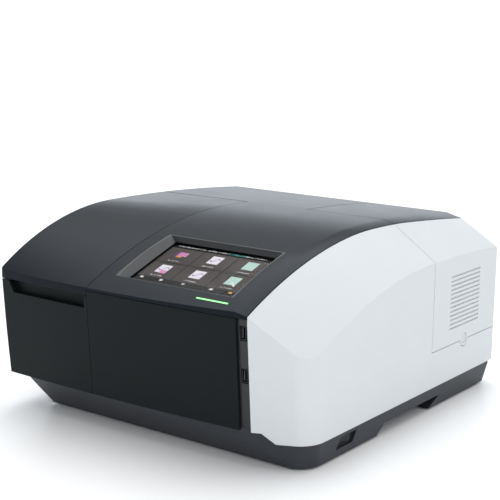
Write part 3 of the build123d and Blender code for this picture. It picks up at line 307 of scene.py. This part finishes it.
def makeBoard(look):
    finish = Finish("circuitBoard")
    softened = finish.softened(look["edge"])
    copper = finish.cells(look["traces"], "DISTANCE_TO_EDGE") < look["traceWidth"]
    dots = finish.cells(look["pads"]) < look["padWidth"]
    mask = finish.mix(copper, look["mask"], look["copper"])
    finish.vary("Base Color", finish.mix(dots, mask, look["tin"]))
    finish.vary("Roughness", look["roughness"] + finish.noise(look["cloud"]) * look["spread"])
    finish.vary("Metallic", dots * look["shine"])
    finish.bump(copper + dots, look["depth"], softened)
    return finish.material


foamLook = {"pore": 1.3, "cloud": 12, "poreShare": 0.9, "cloudShare": 0.3, "dark": tone(22, 22, 23),
            "light": tone(48, 48, 50), "roughness": 0.85, "spread": 0.1, "depth": 0.25}


def makeFoam(look):
    finish = Finish("foam")
    pores = finish.cells(look["pore"], "SMOOTH_F1")
    broad = finish.noise(look["cloud"], 3.0)
    blend = (pores * look["poreShare"] + broad * look["cloudShare"]).clamp()
    finish.vary("Base Color", finish.mix(blend, look["dark"], look["light"]))
    finish.vary("Roughness", look["roughness"] + broad * look["spread"])
    finish.bump(pores, look["depth"])
    return finish.material


# the lit picture, in millimetres from its middle; an area is its middle and half its width and height
screenLook = {"tilt": 19.21, "width": 158.0, "height": 88.0, "rise": 6.0, "bar": 8.0, "columns": 3,
              "line": 0.8, "strength": 0.85, "shine": 0.1, "roughness": 0.2, "spread": 0.06, "unlit": 0.9,
              "tile": tone(76, 70, 67), "tileDark": tone(64, 59, 57), "shade": 30,
              "black": tone(3, 3, 4), "page": tone(236, 231, 240), "mint": tone(188, 220, 211),
              "ink": tone(138, 92, 160), "pink": tone(222, 150, 190), "plum": tone(98, 60, 110),
              "orange": tone(226, 150, 70), "mark": tone(190, 190, 190), "teal": tone(70, 150, 146),
              "white": tone(235, 235, 238), "yellow": tone(222, 178, 70),
              "letter": 1.6, "letterCut": 0.48, "captionArea": (0, -12.6, 9, 1.0),
              "pageArea": (0, 3.2, 8.4, 8.8), "waveArea": (0, 3.2, 7.0, 6.8), "waveTurn": 0.42,
              "waveHeight": 3.6, "waveWidth": 0.75, "plumArea": (-2.6, 3.4, 6.2, 6.4),
              "pinkArea": (1.6, 4.2, 6.8, 4.6), "stripe": 4.2, "stripeGap": 0.8,
              "orangeArea": (-1.2, -1.8, 4.0, 1.5), "chartArea": (3.4, -3.2, 4.8, 3.6),
              "tickArea": (4.6, -3.4, 4.8, 4.2), "tickShift": 1.0, "tickWidth": 1.4,
              "headerText": (-4, 68, 1.1), "headerPatch": (20, 13, 1.5),
              "keyRise": 1.4, "keySize": (2.3, 1.7),
              "keys": ((-68, "white"), (-38, "white"), (-4, "mark"), (38, "white"), (66, "yellow"))}


def makeScreen(look):
    finish = Finish("screen")
    low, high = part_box("lcd_module")
    middle = [(low[i] + high[i]) / 2 for i in range(3)]
    turned = {"Vector": finish.place, "Location": middle, "Rotation": (math.radians(look["tilt"]), 0, 0)}
    flat = finish.node("ShaderNodeMapping", {"vector_type": "TEXTURE"}, turned)
    across = finish.part(flat, "X") * (1 / millimetre)
    along = finish.part(flat, "Y") * (1 / millimetre) - look["rise"]
    tileWidth = look["width"] / look["columns"]
    tileHeight = look["height"] / 2 - look["bar"]
    u = (across + look["width"] / 2) % tileWidth - tileWidth / 2
    v = (along + tileHeight) % tileHeight - tileHeight / 2
    left = across < -tileWidth / 2
    right = across > tileWidth / 2
    centre = 1 - left - right
    top = along > 0
    bottom = 1 - top

    def patch(area, where=(u, v)):
        x, y, halfWidth, halfHeight = area
        return (abs(where[0] - x) < halfWidth) * (abs(where[1] - y) < halfHeight)

    def paint(under, mask, colour):
        return finish.mix(mask, under, look[colour])

    shade = finish.noise(look["shade"], 2.0, 0.5, flat)
    picture = finish.mix(shade, look["tileDark"], look["tile"])
    letters = finish.noise(look["letter"], 1.0, 0.5, flat) > look["letterCut"]
    picture = paint(picture, patch(look["captionArea"]) * letters, "mark")

    # a page in each tile, but for the first
    page = patch(look["pageArea"])
    picture = paint(picture, page * (1 - left * top), "page")
    picture = paint(picture, page * right, "mint")
    waveMiddle = look["waveArea"][1]
    wave = abs(v - waveMiddle - (u * look["waveTurn"]).sine() * look["waveHeight"]) < look["waveWidth"]
    picture = paint(picture, patch(look["waveArea"]) * wave * (centre + left * bottom), "ink")

    # the first tile's bars, the chart below it, and the tick at the lower right
    first = left * top
    picture = paint(picture, patch(look["plumArea"]) * first, "plum")
    stripes = (u % look["stripe"]) > look["stripeGap"]
    picture = paint(picture, patch(look["pinkArea"]) * first * stripes, "pink")
    picture = paint(picture, patch(look["orangeArea"]) * first, "orange")
    picture = paint(picture, patch(look["chartArea"]) * left * bottom, "pink")
    tick = (abs(u + v - look["tickShift"]) < look["tickWidth"]) * patch(look["tickArea"])
    picture = paint(picture, tick * right * bottom, "white")

    # black lines between the tiles, and a black bar above and below with its marks
    grid = (abs(u) > tileWidth / 2 - look["line"]) + (abs(v) > tileHeight / 2 - look["line"])
    bars = abs(along) > tileHeight
    picture = paint(picture, (grid + bars).clamp(), "black")
    whole = (across, along)
    barMiddle = look["height"] / 2 - look["bar"] / 2
    for name, colour in (("headerText", "mark"), ("headerPatch", "teal")):
        x, halfWidth, halfHeight = look[name]
        picture = paint(picture, patch((x, barMiddle, halfWidth, halfHeight), whole) * letters, colour)
    for x, colour in look["keys"]:
        picture = paint(picture, patch((x, look["keyRise"] - barMiddle, *look["keySize"]), whole), colour)
    finish.vary("Emission Color", picture)
    finish.vary("Base Color", paint(picture, look["unlit"], "black"))
    finish.vary("Roughness", look["roughness"] + shade * look["spread"])
    finish.fixed(Emission_Strength=look["strength"], Specular_IOR_Level=look["shine"])
    return finish.material


special = {"screenGlass": makeScreenGlass(screenGlassLook), "quartz": makeQuartz(quartzLook),
           "lightPipe": makeLight(statusLook), "circuitBoard": makeBoard(boardLook),
           "foam": makeFoam(foamLook), "screen": makeScreen(screenLook)}
finishes = {**plastics, **metals, **special}
print("finishes made", len(finishes))

# CAD nodes that keep their own mesh and only take a finish
plainNodes = {
    "blackPlastic": ["lid_liner", "sample_tub", "corner_plugs", "power_inlet", "rear_ports", "fan_frame",
                     "fan_rotor", "detector_housings", "cell_holder", "switch_housing"],
    "rubber": ["rubber_feet"],
    "foam": ["lid_seal"],
    "aluminium": ["chassis_plate", "hinge_brackets", "hinge_knuckles", "slit_plates", "mirror_mounts",
                  "beam_mirrors", "grating_post", "latch_receiver"],
    "darkSteel": ["usb_sockets"],
    "steel": ["hinge_pins", "cover_screws", "fan_guard", "drive_motor", "filter_motor",
              "source_motor", "drive_pinion"],
    "paintedMetal": ["rear_panel", "power_supply", "lamp_shield"],
    "brass": ["grating_table", "filter_wheel"],
    "screenGlass": ["touch_glass"],
    "screen": ["lcd_module"],
    "lightPipe": ["status_light"],
    "circuitBoard": ["main_board", "preamp_board", "photodiodes"],
    "quartz": ["beam_windows", "deuterium_lamp", "halogen_lamp", "order_filters"],
    "mirror": ["collimating_mirrors", "grating", "source_mirror"],
    "ceramic": ["lamp_bases"],
}


def dress(target, finishName):
    target.data.materials.clear()
    target.data.materials.append(finishes[finishName])


for finishName, names in plainNodes.items():
    for nodeName in names:
        dress(nodes[nodeName], finishName)
print("nodes finished")

# covers that are seen: the CAD shape with softened edges, this many millimetres wide
bodyOf = {node: body for body, names in frame["record"]["behaviour"]["bodies"].items() for node in names}
covers = {
    "roof_cover": {"name": "roofCover", "finish": "darkPlastic", "edge": 0.8, "steps": 2},
    "compartment_lid": {"name": "compartmentLid", "finish": "darkPlastic", "edge": 0.9, "steps": 2},
    "lamp_cover_top": {"name": "lampCoverTop", "finish": "darkPlastic", "edge": 0.8, "steps": 2},
    "compartment_front_panel": {"name": "compartmentFront", "finish": "panelPlastic", "edge": 0.8,
                                "steps": 2},
    "front_panel": {"name": "frontPanel", "finish": "panelPlastic", "edge": 0.8, "steps": 2},
    "port_strip": {"name": "portStrip", "finish": "portPlastic", "edge": 0.5, "steps": 2},
    "display_bezel": {"name": "displayBezel", "finish": "portPlastic", "edge": 0.4, "steps": 2},
    "right_cover": {"name": "rightCover", "finish": "whitePlastic", "edge": 0.8, "steps": 2},
    "left_cover": {"name": "leftCover", "finish": "whitePlastic", "edge": 0.8, "steps": 2},
    "lamp_cover_side": {"name": "lampCoverSide", "finish": "whitePlastic", "edge": 0.5, "steps": 2},
    "lamp_cover_knob": {"name": "lampCoverKnob", "finish": "knobPlastic", "edge": 0.4, "steps": 3},
    "base_tray": {"name": "baseTray", "finish": "basePlastic", "edge": 1.0, "steps": 2},
    "power_rocker": {"name": "powerRocker", "finish": "blackPlastic", "edge": 0.4, "steps": 3},
}
softening = {"merge": 2e-6, "flat": math.radians(0.4), "sharp": math.radians(28),
             "crease": math.radians(44.8)}


def softenCover(node, look):
    mesh = bpy.data.meshes.new(look["name"])
    shape = bmesh.new()
    shape.from_mesh(nodes[node].data)
    bmesh.ops.remove_doubles(shape, verts=shape.verts, dist=softening["merge"])
    bmesh.ops.dissolve_limit(shape, angle_limit=softening["flat"], verts=shape.verts, edges=shape.edges)

    def edgesOver(angle):
        return [edge for edge in shape.edges if edge.is_manifold and edge.calc_face_angle() > angle]

    bmesh.ops.bevel(shape, geom=edgesOver(softening["sharp"]), offset=look["edge"] * millimetre,
                    segments=look["steps"], profile=0.5, affect="EDGES", material=-1, clamp_overlap=True)
    for face in shape.faces:
        face.smooth = True
    for edge in edgesOver(softening["crease"]):
        edge.smooth = False
    shape.to_mesh(mesh)
    shape.free()
    piece = bpy.data.objects.new(look["name"], mesh)
    bpy.context.scene.collection.objects.link(piece)
    even = piece.modifiers.new("even", "WEIGHTED_NORMAL")
    even.keep_sharp = True
    dress(piece, look["finish"])
    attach(piece, bodyOf[node])
    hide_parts(node)


for node, look in covers.items():
    softenCover(node, look)
print("covers softened", len(covers))

# camera, turned by roll in degrees about its own aim
cameraLook = {"place": (0.9405, -1.2983, 0.5170), "aim": (-0.58055, 0.79003, -0.19715), "roll": 0.81,
              "lens": 89.05, "film": 36, "reach": 60}


def makeCamera(look):
    lens = bpy.data.cameras.new("camera")
    lens.lens = look["lens"]
    lens.sensor_width = look["film"]
    lens.clip_end = look["reach"]
    seen = bpy.data.objects.new("camera", lens)
    bpy.context.scene.collection.objects.link(seen)
    level = Vector(look["aim"]).to_track_quat("-Z", "Y").to_matrix()
    turn = level @ Matrix.Rotation(math.radians(look["roll"]), 3, "Z")
    seen.matrix_world = Matrix.Translation(look["place"]) @ turn.to_4x4()
    bpy.context.scene.camera = seen


makeCamera(cameraLook)

# soft light from above, low bluish light from behind, and fill from the right
lights = {
    "skyLight": {"kind": "SUN", "place": (-0.6, 1.0, 3.0), "spread": 60, "power": 2.35},
    "backLight": {"kind": "AREA", "place": (-1.75, 2.45, 0.68), "size": (3.0, 0.5), "power": 11,
                  "tint": (0.8, 0.9, 1.0)},
    "rightLight": {"kind": "AREA", "place": (2.6, -1.5, 1.6), "size": (1.8, 1.8), "power": 22},
}
lightTarget = Vector((0, 0, 0.1))


def makeLights(looks):
    for name, look in looks.items():
        source = bpy.data.lights.new(name, look["kind"])
        source.energy = look["power"]
        source.color = look.get("tint", (1.0, 1.0, 1.0))
        if look["kind"] == "SUN":
            source.angle = math.radians(look["spread"])
        else:
            source.shape = "RECTANGLE"
            source.size, source.size_y = look["size"]
        lamp = bpy.data.objects.new(name, source)
        turn = (lightTarget - Vector(look["place"])).to_track_quat("-Z", "Y").to_matrix().to_4x4()
        lamp.matrix_world = Matrix.Translation(look["place"]) @ turn
        bpy.context.scene.collection.objects.link(lamp)


makeLights(lights)

skyLook = {"tone": tone(240, 244, 248), "strength": 0.52}
sky = bpy.data.worlds.new("studio")
sky.use_nodes = True
background = sky.node_tree.nodes["Background"]
background.inputs["Color"].default_value = skyLook["tone"]
background.inputs["Strength"].default_value = skyLook["strength"]
bpy.context.scene.world = sky
bpy.context.scene.view_settings.view_transform = "Standard"
print("camera and lights placed")

# pale floor, in metres, that curves up far from the object
floorLook = {"size": 24.0, "light": tone(250, 250, 250), "dark": tone(247, 247, 247), "roughness": 0.4,
             "spread": 0.05, "cloud": 600, "steps": 60, "flat": 5.0, "rise": 0.012}


def makeFloor(look):
    finish = Finish("paleFloor")
    cloud = finish.noise(look["cloud"], 3.0)
    finish.vary("Base Color", finish.mix(cloud, look["dark"], look["light"]))
    finish.vary("Roughness", look["roughness"] + cloud * look["spread"])
    mesh = bpy.data.meshes.new("floor")
    shape = bmesh.new()
    steps = look["steps"]
    bmesh.ops.create_grid(shape, x_segments=steps, y_segments=steps, size=look["size"])
    for corner in shape.verts:
        corner.co.z = look["rise"] * max(0.0, corner.co.xy.length - look["flat"]) ** 2
    for face in shape.faces:
        face.smooth = True
    shape.to_mesh(mesh)
    shape.free()
    mesh.materials.append(finish.material)
    floor = bpy.data.objects.new("floor", mesh)
    bpy.context.scene.collection.objects.link(floor)


makeFloor(floorLook)
print("stage set")
